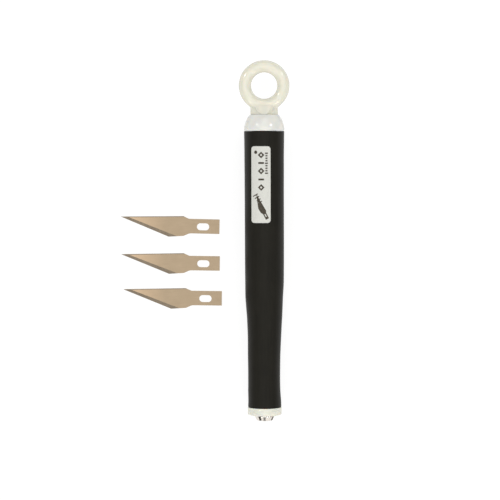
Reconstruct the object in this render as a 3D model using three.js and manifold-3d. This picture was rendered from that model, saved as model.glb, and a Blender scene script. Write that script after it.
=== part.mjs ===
// Ink knife: a soft-grip craft knife for cutting paper, card and printing blocks, lying on a table
// with its three loose pointed blades beside it.
//
// Turning the ring at the rear turns a drive rod inside the barrel. A nut pinned to the rod's front end
// runs on the collet's threaded tail, and a key pin keeps the collet from turning, so the collet slides
// in and out and its four jaws close on a blade's tang, or let it go.
//
// Millimetres, +Z up, the table at z = 0. The knife is drawn in its own frame first: its axis is the
// Y axis, the ring is at +Y, and y = 0 is the front face of the nose ferrule.
import * as THREE from 'three';
import { mergeVertices } from 'three/addons/utils/BufferGeometryUtils.js';
import Module from 'manifold-3d';

const wasm = await Module();
wasm.setup();

const TURN = 2 * Math.PI;
const degrees = THREE.MathUtils.degToRad;

// ---------------------------------------------------------------- driving dimensions
// Clearances: fixed pieces stand FIT apart, and moving ones RUN apart.
const FIT = 0.1;
const RUN = 0.3;

// Stations along the knife's axis.
const GRIP_FRONT = 3.4;
const GRIP_REAR = 115.3;
const CAP_TOP = 121.9;
const RING_CENTRE = 133.6;
const COLLET_NOSE = -2.15;

// The grip's outer surface as [radius, y]: slim at the fingers, full in the palm.
const GRIP_OUTLINE = [
  [6.76, GRIP_FRONT], [6.61, 8], [6.49, 15.5], [6.64, 26], [6.94, 36],
  [7.53, 46], [7.88, 56], [7.93, 80], [7.99, 105], [8.14, GRIP_REAR],
];
const FERRULE = { radius: 6.88, faceRadius: 5.1, chamfer: 0.65 };
const CAP = { radius: 8.1, domeFrom: 116, domeRadius: 8.5 };
const RING = { radius: 7.75, tube: 2.45 };
const NECK = { radius: 5.68, halfDepth: 3.7, base: CAP_TOP + 0.2 };
const COLLET = {
  radius: 4.04, noseRadius: 3.2, mouth: 0.15, coneEnd: 6.3, shank: 2.9, shankEnd: 20.4, tailEnd: 28,
};

// The barrel: a tube that thickens from the fingers to the palm, with a stepped pocket at each end.
const BARREL = {
  front: 0.7, rear: 115.1, radiusFront: 5.55, radiusRear: 6.3, swellFrom: 34, swellTo: 60, bore: 3.9,
};
const SEAT_POCKET = { radius: 4.95, end: 9 };
const BUSH_POCKET = { radius: 4.3, end: 21 };
const REAR_POCKET = { radius: 5, start: 100.9, end: 111.7 };
const HUB_POCKET = { radius: 4.6, floor: 117 };

// The drive from ring to collet.
const ROD = { radius: 2, front: 30.2, rear: 124.5 };
const NUT = { radius: 3.5, front: 22.2, rear: 36.2, threadEnd: 26, relief: 29.7 };
const HUB = { radius: 4.3, front: HUB_POCKET.floor + 0.4 };
const WASHER = { radius: 4.7, thickness: 0.6 };
const CLIP = { radius: 3.6, front: 109.8, thickness: 0.6, groove: 1.4, slack: 0.3 };
const DRAG_RING = { radius: 4.05, section: 0.5, y: 121 };

// Cross pins: radius and station.
const KEY_PIN = { radius: 0.6, y: 17.3 };
const NUT_PIN = { radius: 0.5, y: 33.4 };
const KNOB_PIN = { radius: 0.6, y: 118.9 };

// The M5 x 0.8 thread between nut and collet. Play is how much wider the nut's groove is cut.
const THREAD = {
  pitch: 0.8, major: 2.5, minor: 2, top: 27.6, radialPlay: 0.13, axialPlay: 0.07, steps: 16,
};

// The collet's two crossed slots make its four jaws, and take the blade.
const SLOT = { width: 0.7, end: 13, angle: degrees(-32), relief: 0.8 };

// The paper label on the grip, as stations, half its width in angle, and its angle from straight up.
const LABEL = {
  front: 78.45, rear: 109.2, halfAngle: degrees(28.8), angle: degrees(-11),
  corner: 1.2, thickness: 0.16, gap: 0.06,
};

// A pointed craft blade with a 6 mm class tang. It is drawn with the middle of its tang's end at 0, 0
// and its point towards -X.
const BLADE = {
  thickness: 0.5, bevel: 1.4, edge: 0.05, tip: [-40.4, 3.25], heel: [-20.7, -4.52], spine: 4,
};
const TANG = { length: 12.2, half: 2.96 };

// Where each loose blade's tang ends, and how many degrees it is turned on the table.
const BLADES = [
  { name: 'blade_1', x: -18.28, y: 76.32, turn: -1.43 },
  { name: 'blade_2', x: -18.2, y: 61.3, turn: -0.92 },
  { name: 'blade_3', x: -17.4, y: 47.02, turn: -0.82 },
];

// Segments round a full circle: on what shows, inside, and on a small pin.
const ROUND = 32;
const ROUND_INSIDE = 24;
const ROUND_PIN = 12;

// ---------------------------------------------------------------- materials
const finish = (color, roughness, metalness = 0) =>
  new THREE.MeshStandardMaterial({ color, roughness, metalness });

const blackRubber = finish(0x2a2925, 0.75);
const whitePlastic = finish(0xe6e6df, 0.35);
const creamPlastic = finish(0xe7e3d1, 0.3);
const naturalNylon = finish(0xd9d4c4, 0.5);
const labelPaper = finish(0xe2e2dc, 0.6);
const platedSteel = finish(0xd8d4cc, 0.12, 1);
const plainSteel = finish(0x9a9a98, 0.35, 1);
const bladeSteel = finish(0xbba583, 0.3, 1);
const brass = finish(0xb59a5a, 0.35, 1);
const sealRubber = finish(0x1c1c1c, 0.8);

// ---------------------------------------------------------------- solids
// A closed geometry as a manifold-3d solid, and back.
function solidOf(geometry) {
  const plain = geometry.index ? geometry.toNonIndexed() : geometry.clone();
  plain.deleteAttribute('normal');
  plain.deleteAttribute('uv');
  const merged = mergeVertices(plain, 1e-4);
  return new wasm.Manifold(new wasm.Mesh({
    numProp: 3,
    vertProperties: merged.attributes.position.array,
    triVerts: new Uint32Array(merged.index.array),
  }));
}

function geometryOf(solid) {
  const mesh = solid.getMesh();
  return new THREE.BufferGeometry()
    .setAttribute('position', new THREE.BufferAttribute(mesh.vertProperties, 3))
    .setIndex(new THREE.BufferAttribute(mesh.triVerts, 1));
}

function combine(operation, geometries) {
  const [first, ...rest] = geometries.map(solidOf);
  return geometryOf(rest.reduce((solid, next) => solid[operation](next), first));
}

const join = (...geometries) => combine('add', geometries);
const cut = (...geometries) => combine('subtract', geometries);
const overlap = (...geometries) => combine('intersect', geometries);

// A solid turned about Y. The profile is [radius, y] points that run up the outside; it starts and ends
// on the axis, or it closes on itself round a bore.
function turned(profile, segments = ROUND_INSIDE) {
  const closed = profile[0][0] === 0 ? profile : [...profile, profile[0]];
  return new THREE.LatheGeometry(closed.map(([radius, y]) => new THREE.Vector2(radius, y)), segments);
}

const rod = (radius, from, to, segments) =>
  turned([[0, from], [radius, from], [radius, to], [0, to]], segments);

const tube = (inner, outer, from, to, segments) =>
  turned([[inner, from], [outer, from], [outer, to], [inner, to]], segments);

// A pin or a drill along X, at a station of the axis.
const crossPin = (radius, fromX, toX, y) =>
  new THREE.CylinderGeometry(radius, radius, toX - fromX, ROUND_PIN)
    .rotateZ(Math.PI / 2)
    .translate((fromX + toX) / 2, y, 0);

// A flat outline pulled up along Z and centred on z = 0.
const slab = (shape, thickness, curveSegments) =>
  new THREE.ExtrudeGeometry(shape, { depth: thickness, bevelEnabled: false, curveSegments })
    .translate(0, 0, -thickness / 2);

// Points [radius, y] on an ellipse that leaves the point [radius, y] along the axis and curves inwards.
// Reach is how far it goes along the axis in a quarter turn, and depth how far inwards.
function shoulder([radius, y], reach, depth, angle, steps) {
  return Array.from({ length: steps + 1 }, (_, i) => {
    const a = angle * (i / steps);
    return [radius - depth * (1 - Math.cos(a)), y + reach * Math.sin(a)];
  });
}

function roundedRectangle(left, bottom, right, top, corner) {
  const shape = new THREE.Shape();
  shape.absarc(right - corner, bottom + corner, corner, -Math.PI / 2, 0);
  shape.absarc(right - corner, top - corner, corner, 0, Math.PI / 2);
  shape.absarc(left + corner, top - corner, corner, Math.PI / 2, Math.PI);
  shape.absarc(left + corner, bottom + corner, corner, Math.PI, 1.5 * Math.PI);
  return shape;
}

// A ridge of the right-handed 60 degree thread: a straight bar of its section, wound down the axis from
// its top end. Play makes the ridge stand further out and wider, to cut a groove that clears it.
function threadRidge(top, turns, radialPlay = 0, axialPlay = 0) {
  const flank = Math.tan(degrees(30));
  const crest = THREAD.major + radialPlay;
  const root = THREAD.minor - RUN;
  const crestHalf = THREAD.pitch / 16 - radialPlay * flank + axialPlay;
  const rootHalf = crestHalf + (crest - root) * flank;
  const section = new THREE.Shape([
    new THREE.Vector2(root, -rootHalf),
    new THREE.Vector2(crest, -crestHalf),
    new THREE.Vector2(crest, crestHalf),
    new THREE.Vector2(root, rootHalf),
  ]);
  const bar = new THREE.ExtrudeGeometry(section, {
    depth: turns, steps: turns * THREAD.steps, bevelEnabled: false,
  });
  const places = bar.attributes.position;
  for (let i = 0; i < places.count; i++) {
    const radius = places.getX(i);
    const wound = places.getZ(i);
    const y = top - THREAD.pitch * wound + places.getY(i);
    places.setXYZ(i, -radius * Math.sin(TURN * wound), y, radius * Math.cos(TURN * wound));
  }
  return bar;
}

// ---------------------------------------------------------------- handle
const gripCurve = new THREE.SplineCurve(GRIP_OUTLINE.map(([radius, y]) => new THREE.Vector2(radius, y)))
  .getPoints(2 * GRIP_OUTLINE.length)
  .map((point) => [point.x, point.y]);

function gripRadius(y) {
  const next = Math.max(1, gripCurve.findIndex((point) => point[1] >= y));
  const [[r0, y0], [r1, y1]] = [gripCurve[next - 1], gripCurve[next]];
  return r0 + (r1 - r0) * ((y - y0) / (y1 - y0));
}

// A stretch of the grip's outer surface, moved out by an offset.
function gripStretch(from, to, offset) {
  const between = gripCurve.filter(([, y]) => y > from && y < to);
  return [[gripRadius(from), from], ...between, [gripRadius(to), to]]
    .map(([radius, y]) => [radius + offset, y]);
}

const gripSleeve = () => turned([
  [BARREL.radiusFront + FIT, GRIP_FRONT],
  ...gripCurve,
  [BARREL.radiusRear + FIT, GRIP_REAR],
  [BARREL.radiusRear + FIT, BARREL.swellTo],
  [BARREL.radiusFront + FIT, BARREL.swellFrom],
], ROUND);

function barrel() {
  const shell = turned([
    [SEAT_POCKET.radius, BARREL.front],
    [BARREL.radiusFront, BARREL.front],
    [BARREL.radiusFront, BARREL.swellFrom],
    [BARREL.radiusRear, BARREL.swellTo],
    [BARREL.radiusRear, BARREL.rear],
    [REAR_POCKET.radius, BARREL.rear],
    [REAR_POCKET.radius, REAR_POCKET.start],
    [BARREL.bore, REAR_POCKET.start],
    [BARREL.bore, BUSH_POCKET.end],
    [BUSH_POCKET.radius, BUSH_POCKET.end],
    [BUSH_POCKET.radius, SEAT_POCKET.end],
    [SEAT_POCKET.radius, SEAT_POCKET.end],
  ]);
  return cut(shell, crossPin(KEY_PIN.radius + FIT, 0, 2 * BARREL.radiusFront, KEY_PIN.y));
}

// The white ring at the nose: it closes the barrel, holds the collet's seat in and stops the grip.
function noseFerrule() {
  const { radius, faceRadius, chamfer } = FERRULE;
  const rim = shoulder([radius, chamfer], -chamfer, radius - faceRadius, Math.PI / 2, 4);
  const rear = GRIP_FRONT - FIT;
  const lip = BARREL.front - FIT;
  return turned([
    [COLLET.radius + RUN, 0],
    ...rim.reverse(),
    [radius, rear],
    [BARREL.radiusFront + FIT, rear],
    [BARREL.radiusFront + FIT, lip],
    [COLLET.radius + RUN, lip],
  ], ROUND);
}

// The domed cap at the rear, with a spigot into the barrel and a pocket for the ring's hub.
function endCap() {
  const base = GRIP_REAR + FIT;
  const spigot = REAR_POCKET.radius - FIT;
  const bore = ROD.radius + RUN;
  const domeAngle = Math.asin((CAP_TOP - CAP.domeFrom) / CAP.domeRadius);
  return turned([
    [bore, REAR_POCKET.end],
    [spigot, REAR_POCKET.end],
    [spigot, base],
    [CAP.radius, base],
    ...shoulder([CAP.radius, CAP.domeFrom], CAP.domeRadius, CAP.domeRadius, domeAngle, 5),
    [HUB_POCKET.radius, CAP_TOP],
    [HUB_POCKET.radius, HUB_POCKET.floor],
    [bore, HUB_POCKET.floor],
  ], ROUND);
}

// A paper label with round corners, wrapped round the grip.
function label() {
  const [front, rear] = [LABEL.front - 1, LABEL.rear + 1];
  const sheet = turned([
    ...gripStretch(front, rear, LABEL.gap + LABEL.thickness),
    ...gripStretch(front, rear, LABEL.gap).reverse(),
  ], ROUND);
  const half = gripRadius(LABEL.front) * Math.sin(LABEL.halfAngle);
  const outline = roundedRectangle(-half, LABEL.front, half, LABEL.rear, LABEL.corner);
  const punch = slab(outline, 2 * CAP.radius, 3)
    .translate(0, 0, CAP.radius)
    .rotateY(LABEL.angle);
  return overlap(sheet, punch);
}

// ---------------------------------------------------------------- collet and its guides
const coneEndRadius = COLLET.shank + 0.05;

function collet() {
  const body = turned([
    [0, COLLET_NOSE],
    [COLLET.noseRadius, COLLET_NOSE],
    [COLLET.radius, COLLET.mouth - 0.5],
    [COLLET.radius, COLLET.mouth],
    [coneEndRadius, COLLET.coneEnd],
    [COLLET.shank, COLLET.coneEnd + 0.7],
    [COLLET.shank, COLLET.shankEnd],
    [THREAD.minor, COLLET.shankEnd + 0.5],
    [THREAD.minor, COLLET.tailEnd],
    [0, COLLET.tailEnd],
  ], ROUND);
  const slotFront = COLLET_NOSE - 1;
  const slot = new THREE.BoxGeometry(SLOT.width, SLOT.end - slotFront, 3 * COLLET.radius)
    .translate(0, (SLOT.end + slotFront) / 2, 0)
    .rotateY(SLOT.angle);
  const relief = rod(SLOT.relief, slotFront, SLOT.end + 0.5, ROUND_PIN);
  const slotted = cut(body, slot, slot.clone().rotateY(Math.PI / 2), relief, keyway());
  return join(slotted, threadRidge(THREAD.top, 6));
}

// The keyway that the key pin runs in: as wide as the pin with room, and as long as the collet's travel.
function keyway() {
  const [depth, travel] = [2, 2.6];
  const width = 2 * (KEY_PIN.radius + RUN);
  return new THREE.BoxGeometry(depth, travel + 2 * KEY_PIN.radius, width)
    .translate(COLLET.shank - 1.4 + depth / 2, KEY_PIN.y + 0.5, 0);
}

// The steel cone that squeezes the jaws.
const colletSeat = () => turned([
  [COLLET.radius + RUN, BARREL.front + FIT],
  [SEAT_POCKET.radius - FIT, BARREL.front + FIT],
  [SEAT_POCKET.radius - FIT, SEAT_POCKET.end - RUN],
  [coneEndRadius + RUN, SEAT_POCKET.end - RUN],
  [coneEndRadius + RUN, COLLET.coneEnd],
], ROUND);

// The bush that guides the collet's shank. The key pin through it stops the collet turning.
function guideBush() {
  const sleeve = tube(COLLET.shank + RUN, BUSH_POCKET.radius - FIT, SLOT.end + 0.8, BUSH_POCKET.end - FIT);
  return cut(sleeve, crossPin(KEY_PIN.radius + FIT, 0, 2 * BUSH_POCKET.radius, KEY_PIN.y));
}

const keyPin = () => crossPin(KEY_PIN.radius, COLLET.shank - 1, BARREL.radiusFront - FIT, KEY_PIN.y);

// ---------------------------------------------------------------- drive
// The brass nut: threaded in front for the collet's tail, bored behind for the rod it is pinned to.
function couplingNut() {
  const { pitch, major, minor, steps, top, radialPlay, axialPlay } = THREAD;
  const body = turned([
    [ROD.radius + FIT, NUT.relief],
    [major + RUN, NUT.relief],
    [major + RUN, NUT.threadEnd],
    [minor + radialPlay, NUT.threadEnd],
    [minor + radialPlay, NUT.front],
    [NUT.radius, NUT.front],
    [NUT.radius, NUT.rear],
    [ROD.radius + FIT, NUT.rear],
  ], steps);
  const groove = threadRidge(top - pitch, 7, radialPlay, axialPlay);
  return cut(body, groove, crossPin(NUT_PIN.radius + FIT, -NUT.radius - 1, NUT.radius + 1, NUT_PIN.y));
}

const nutPin = () => crossPin(NUT_PIN.radius, -NUT.radius + FIT, NUT.radius - FIT, NUT_PIN.y);

// The steel rod, with a groove for the retaining clip and a hole for the pin at each end.
function driveRod() {
  const grooveFront = CLIP.front - CLIP.slack;
  const grooveRear = CLIP.front + CLIP.thickness + CLIP.slack;
  const body = turned([
    [0, ROD.front],
    [ROD.radius, ROD.front],
    [ROD.radius, grooveFront],
    [CLIP.groove, grooveFront],
    [CLIP.groove, grooveRear],
    [ROD.radius, grooveRear],
    [ROD.radius, ROD.rear],
    [0, ROD.rear],
  ]);
  return cut(
    body,
    crossPin(NUT_PIN.radius + FIT, -NUT.radius, NUT.radius, NUT_PIN.y),
    crossPin(KNOB_PIN.radius + FIT, -HUB.radius, HUB.radius, KNOB_PIN.y),
  );
}

const rearBush = () => tube(ROD.radius + FIT, REAR_POCKET.radius - FIT, REAR_POCKET.start + FIT, 108.5);

const thrustWasher = (from) => tube(ROD.radius + RUN, WASHER.radius, from, from + WASHER.thickness);

// A spring-steel C that snaps into the rod's groove, between the two thrust washers.
function retainingClip() {
  const opening = degrees(50);
  const shape = new THREE.Shape();
  shape.absarc(0, 0, CLIP.radius, opening, TURN - opening);
  shape.absarc(0, 0, CLIP.groove + FIT, TURN - opening, opening, true);
  return slab(shape, CLIP.thickness, ROUND_PIN)
    .rotateX(-Math.PI / 2)
    .translate(0, CLIP.front + CLIP.thickness / 2, 0);
}

// ---------------------------------------------------------------- ring
// The ring's hub turns inside the end cap, and carries a rubber drag ring in a groove.
function hub() {
  const groove = DRAG_RING.section + FIT;
  return turned([
    [0, HUB.front],
    [HUB.radius, HUB.front],
    [HUB.radius, DRAG_RING.y - groove],
    [DRAG_RING.radius - groove, DRAG_RING.y - groove],
    [DRAG_RING.radius - groove, DRAG_RING.y + groove],
    [HUB.radius, DRAG_RING.y + groove],
    [HUB.radius, NECK.base + 0.5],
    [0, NECK.base + 0.5],
  ]);
}

// The neck: an oval column whose front and back lean in to the ring, with a rounded tongue on each.
function neck() {
  const column = rod(NECK.radius, NECK.base, RING_CENTRE, ROUND)
    .scale(1, 1, NECK.halfDepth / NECK.radius);
  const waist = RING.tube - 0.5;
  const lean = new THREE.Shape();
  lean.moveTo(-NECK.halfDepth, NECK.base - 1);
  lean.lineTo(NECK.halfDepth, NECK.base - 1);
  lean.lineTo(NECK.halfDepth, NECK.base + 0.4);
  lean.quadraticCurveTo(RING.tube, NECK.base + 2.2, waist, RING_CENTRE - RING.radius);
  lean.lineTo(waist, RING_CENTRE);
  lean.lineTo(-waist, RING_CENTRE);
  lean.lineTo(-waist, RING_CENTRE - RING.radius);
  lean.quadraticCurveTo(-RING.tube, NECK.base + 2.2, -NECK.halfDepth, NECK.base + 0.4);
  const sides = slab(lean, 3 * NECK.radius, 4).rotateY(Math.PI / 2);
  const tongue = new THREE.SphereGeometry(1, 12, 8)
    .scale(3.1, 3.2, 2.9)
    .translate(0, RING_CENTRE - RING.radius, 0);
  return join(overlap(column, sides), tongue);
}

function ringKnob() {
  const centred = (geometry) => geometry.translate(0, RING_CENTRE, 0);
  const ring = centred(new THREE.TorusGeometry(RING.radius, RING.tube, 12, 36));
  const holeRadius = RING.radius - RING.tube;
  const hole = centred(
    new THREE.CylinderGeometry(holeRadius, holeRadius, 4 * RING.tube, 36).rotateX(Math.PI / 2),
  );
  return cut(
    join(cut(neck(), hole), ring, hub()),
    rod(ROD.radius + FIT, HUB.front - 1, ROD.rear + RUN, ROUND_INSIDE),
    crossPin(KNOB_PIN.radius + FIT, -NECK.radius, NECK.radius, KNOB_PIN.y),
  );
}

const knobPin = () => crossPin(KNOB_PIN.radius, -HUB.radius + FIT, HUB.radius - FIT, KNOB_PIN.y);

const dragRing = () =>
  new THREE.TorusGeometry(DRAG_RING.radius, DRAG_RING.section, 6, ROUND_INSIDE)
    .rotateX(Math.PI / 2)
    .translate(0, DRAG_RING.y, 0);

// ---------------------------------------------------------------- blades
// A blade lying flat with its underside at z = 0, ground on both sides of its slanting edge.
function blade() {
  const [heelX, heelY] = BLADE.heel;
  const outline = new THREE.Shape();
  outline.moveTo(...BLADE.tip);
  outline.lineTo(heelX, heelY);
  outline.lineTo(heelX + 6.1, heelY + 0.45);
  outline.quadraticCurveTo(-TANG.length - 1, -TANG.half, -TANG.length + 0.8, -TANG.half);
  outline.lineTo(0, -TANG.half);
  outline.lineTo(0, TANG.half);
  outline.lineTo(-TANG.length, TANG.half);
  outline.quadraticCurveTo(-TANG.length - 1, TANG.half + 0.1, -TANG.length - 2.45, BLADE.spine);
  outline.closePath();
  outline.holes.push(roundedRectangle(-9.2, -1.6, -4.2, 1.24, 1.3));
  const plate = slab(outline, BLADE.thickness, 4);

  // The grind is a long bar beside the edge, narrowing to it; its first axis points out of the blade.
  const half = BLADE.thickness / 2;
  const back = 2 * half - BLADE.edge;
  const section = new THREE.Shape([
    new THREE.Vector2(0, -BLADE.edge),
    new THREE.Vector2(0, BLADE.edge),
    new THREE.Vector2(-2 * BLADE.bevel, back),
    new THREE.Vector2(BLADE.tip[0], back),
    new THREE.Vector2(BLADE.tip[0], -back),
    new THREE.Vector2(-2 * BLADE.bevel, -back),
  ]);
  const edgeAngle = Math.atan2(heelY - BLADE.tip[1], heelX - BLADE.tip[0]);
  const grind = slab(section, -3 * BLADE.tip[0])
    .rotateX(Math.PI / 2)
    .rotateZ(edgeAngle - Math.PI / 2)
    .translate(heelX, heelY, 0);
  return overlap(plate, grind).translate(0, 0, half);
}

// ---------------------------------------------------------------- assembly
function add(group, name, geometry, material) {
  const mesh = new THREE.Mesh(geometry, material);
  mesh.name = name;
  group.add(mesh);
  return mesh;
}

const knife = new THREE.Group();
add(knife, 'barrel', barrel(), whitePlastic);
add(knife, 'grip_sleeve', gripSleeve(), blackRubber);
add(knife, 'label', label(), labelPaper);
add(knife, 'nose_ferrule', noseFerrule(), whitePlastic);
add(knife, 'end_cap', endCap(), whitePlastic);
add(knife, 'collet_seat', colletSeat(), plainSteel);
add(knife, 'guide_bush', guideBush(), brass);
add(knife, 'key_pin', keyPin(), plainSteel);
add(knife, 'collet', collet(), platedSteel);
add(knife, 'coupling_nut', couplingNut(), brass);
add(knife, 'nut_pin', nutPin(), plainSteel);
add(knife, 'drive_rod', driveRod(), plainSteel);
add(knife, 'rear_bush', rearBush(), naturalNylon);
add(knife, 'thrust_washer_front', thrustWasher(CLIP.front - WASHER.thickness - 0.4), plainSteel);
add(knife, 'retaining_clip', retainingClip(), plainSteel);
add(knife, 'thrust_washer_rear', thrustWasher(CLIP.front + CLIP.thickness + 0.4), plainSteel);
add(knife, 'ring_knob', ringKnob(), creamPlastic);
add(knife, 'knob_pin', knobPin(), plainSteel);
add(knife, 'drag_ring', dragRing(), sealRubber);
knife.position.z = gripRadius(GRIP_REAR);

const set = new THREE.Group();
set.add(knife);
for (const { name, x, y, turn } of BLADES) {
  const mesh = add(set, name, blade(), bladeSteel);
  mesh.position.set(x, y, 0);
  mesh.rotation.z = degrees(turn);
}

// The frame's origin is on the table, under the middle of the set.
const middle = new THREE.Box3().setFromObject(set, true).getCenter(new THREE.Vector3());
set.position.set(-middle.x, -middle.y, 0);

const model = new THREE.Group();
model.add(set);
export default model;
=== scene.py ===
# The looks of an ink knife and its three loose blades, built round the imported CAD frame.
import math

import bmesh
import bpy
import numpy as np
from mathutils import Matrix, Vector, noise


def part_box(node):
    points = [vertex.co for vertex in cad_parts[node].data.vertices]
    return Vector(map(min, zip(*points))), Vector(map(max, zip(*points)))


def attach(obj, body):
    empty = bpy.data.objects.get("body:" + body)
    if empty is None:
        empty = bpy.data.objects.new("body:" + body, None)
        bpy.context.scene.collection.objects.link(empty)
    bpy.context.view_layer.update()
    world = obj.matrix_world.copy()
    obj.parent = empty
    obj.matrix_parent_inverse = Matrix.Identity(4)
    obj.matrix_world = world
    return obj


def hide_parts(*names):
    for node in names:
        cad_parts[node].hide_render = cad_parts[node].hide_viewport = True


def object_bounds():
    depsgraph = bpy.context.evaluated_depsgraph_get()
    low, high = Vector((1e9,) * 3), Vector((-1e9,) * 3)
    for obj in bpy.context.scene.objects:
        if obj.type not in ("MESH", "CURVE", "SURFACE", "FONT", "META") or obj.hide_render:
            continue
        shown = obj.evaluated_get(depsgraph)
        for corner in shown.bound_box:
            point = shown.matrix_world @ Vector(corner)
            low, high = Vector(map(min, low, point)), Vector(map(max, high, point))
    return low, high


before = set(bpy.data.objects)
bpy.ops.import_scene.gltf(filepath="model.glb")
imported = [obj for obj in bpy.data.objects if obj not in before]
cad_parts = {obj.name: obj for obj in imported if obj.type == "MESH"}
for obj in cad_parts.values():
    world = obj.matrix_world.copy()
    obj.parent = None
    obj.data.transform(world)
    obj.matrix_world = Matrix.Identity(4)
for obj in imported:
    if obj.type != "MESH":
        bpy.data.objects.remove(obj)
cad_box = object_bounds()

MM = 0.001
TURN = 2 * math.pi


# ---------------------------------------------------------------- the knife's own frame
# Knife pieces are drawn in millimetres round the knife's axis, which runs along Y. Station 0 is the front
# face of the nose ferrule and the ring is at the high stations.
def middle(node):
    low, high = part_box(node)
    return (low + high) / 2


AXIS = middle("end_cap")
KNIFE = Vector((AXIS.x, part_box("nose_ferrule")[0].y, AXIS.z))


def stations(node):
    """The first and last station of a CAD node."""
    low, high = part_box(node)
    return (low.y - KNIFE.y) / MM, (high.y - KNIFE.y) / MM


def outer_radius(node, station=None):
    """How far a turned CAD node reaches above the axis: at one station, or at its widest."""
    if station is None:
        return (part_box(node)[1].z - KNIFE.z) / MM
    above = KNIFE + Vector((0, station * MM, 1))
    _, place, _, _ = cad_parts[node].ray_cast(above, Vector((0, 0, -1)))
    return (place.z - KNIFE.z) / MM


# ---------------------------------------------------------------- driving sizes, in millimetres
FIT = 0.1
RUN = 0.3
TURNED_SEGMENTS = 128
GRIP = dict(
    front_lip=0.3, rear_lip=0.3, bore_front_lip=0.2, bore_rear_lip=0.15, lip_margin=2, step=0.8,
    bore_slim_to=34, bore_full_from=60, ripple=0.025, seat=0.3,
)
GRIP_SAMPLES = dict(count=141, inset=0.01, smoothed_over=4)
# How far the soft sleeve sits off the axis, sideways, at some stations.
GRIP_WANDER = [
    (3, 0.02), (6, 0.02), (10, -0.17), (16, -0.2), (24, -0.2), (32, -0.03), (40, 0.02), (48, -0.14),
    (54, 0.02), (116, -0.04),
]
RING_TUBE = 2.45
RING_OUTER = (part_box("ring_knob")[1].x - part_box("ring_knob")[0].x) / 2 / MM
RING_RADIUS = RING_OUTER - RING_TUBE
RING_CENTRE = stations("ring_knob")[1] - RING_OUTER
SEAM = stations("end_cap")[1] + 0.03
HOLE_WALL = 0.4
NECK = dict(half_width=5.55, half_depth=4.0, waist=1.6, up_to=-3, edge=0.05, fillet=0.35)
TONGUE = dict(half_width=2.95, foot=1.0, top=2.5, foot_top=4.8, fillet=0.2)
UPPER_FILLET = 0.3
HUB = dict(radius=4.3, front=stations("end_cap")[1] - 4.5, into_neck=1)
ROD_RADIUS = 2
PIN = dict(radius=0.6, station=(middle("knob_pin").y - KNIFE.y) / MM)
DRAG = dict(radius=4.05, section=0.6, station=(middle("drag_ring").y - KNIFE.y) / MM)
FERRULE = dict(
    face=5.1, chamfer=0.65, groove_depth=0.04, groove_width=0.2, groove_from_rear=0.75, mouth_round=0.18,
    rear_round=0.15, lip_round=0.1,
)
CAP = dict(
    dome_from=116, dome=8.5, rim=0.3, rim_break=0.12, top_round=0.25, spigot_round=0.3, pocket=4.42,
    pocket_round=0.2, hub_gap=0.4,
)
COLLET = dict(
    radius=4.04, nose=3.15, nose_round=0.35, mouth=0.15, mouth_length=0.6, cone_end=6.3, shank=2.9,
    shank_end=20.4, shank_taper=0.05, tail_round=0.1, steepness=0.92,
)
THREAD = dict(
    pitch=0.8, core=2.0, crest=2.4, swing=0.6, flats=(-0.2, 0.25), runout=0.5, starts=1.0, fade=0.4,
    end_fade=0.3,
)
SLOT = dict(
    width=0.85, end=13, angle=math.radians(-32), relief=0.8, relief_past=0.5, flare=0.05, flare_length=1.4,
    edge=0.14, wall_past=0.6, core=1.1,
)
KEYWAY = dict(depth=1.4, ahead=0.5, half_length=1.9)
LABEL = dict(angle=math.radians(-11), half_angle=math.radians(28.8), corner=1.2, gap=0.06, thickness=0.16)
LABEL_CUTS = dict(across_from=0.3, across=0.4, along_from=0.7, along=2.0)
INK = dict(thickness=0.02, sunk=0.005)
BLADE = dict(
    tip=(-40.4, 3.25), heel=(-20.7, -4.52), thickness=0.5, edge=0.05, tip_bevel=1.0, heel_bevel=1.45,
    spine=4.0, spine_break=0.3, spine_drop=0.04, worn=0.035,
)
BLADE_BACK = dict(past_heel=6.1, rise=0.45, heel_round=0.3, tang_round=3.5)
BLADE_SHOULDER = dict(tang_step=0.3, tang_round=1.2, length=2.6, spine_round=0.15)
GRIND_SLOPE = (0.95, 0.999)
TANG = dict(length=12.2, half=2.96, end_round=0.12)
TANG_SLOT = dict(front=-9.2, rear=-4.2, low=-1.6, high=1.24, corner=1.38)
BLADE_TURNS = {"blade_1": -1.43, "blade_2": -0.92, "blade_3": -0.82}


# ---------------------------------------------------------------- mesh tools
def piece_from(name, places, faces, origin=KNIFE, crease=35):
    """A smooth-shaded closed piece from millimetre places round an origin, with its creases kept sharp."""
    mesh = bpy.data.meshes.new(name)
    mesh.from_pydata([origin + Vector(place) * MM for place in places], [], faces)
    work = bmesh.new()
    work.from_mesh(mesh)
    bmesh.ops.recalc_face_normals(work, faces=work.faces[:])
    work.to_mesh(mesh)
    work.free()
    mesh.shade_smooth()
    mesh.set_sharp_from_angle(angle=math.radians(crease))
    made = bpy.data.objects.new(name, mesh)
    bpy.context.scene.collection.objects.link(made)
    return made


def dress(piece, body, surface, slot, *nodes):
    """Gives a piece its body and its material, and hides the CAD nodes that it stands for. The slot is not
    used.
    """
    piece.data.materials.append(surface)
    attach(piece, body)
    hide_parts(*nodes)


def rounded(corners, steps=6):
    """A closed outline. A corner is (x, y) or (x, y, radius), and one with a radius is rounded off."""
    outline = []
    for i, corner in enumerate(corners):
        here = Vector(corner[:2])
        if len(corner) < 3:
            outline.append(tuple(here))
            continue
        before = (Vector(corners[i - 1][:2]) - here).normalized()
        after = (Vector(corners[(i + 1) % len(corners)][:2]) - here).normalized()
        half = before.angle(after) / 2
        centre = here + (before + after).normalized() * (corner[2] / math.sin(half))
        start = here + before * (corner[2] / math.tan(half)) - centre
        sweep = math.pi - 2 * half
        if start.cross(here - centre) < 0:
            sweep = -sweep
        for step in range(steps + 1):
            a = sweep * step / steps
            c, s = math.cos(a), math.sin(a)
            outline.append((centre.x + start.x * c - start.y * s, centre.y + start.x * s + start.y * c))
    return outline


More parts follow.
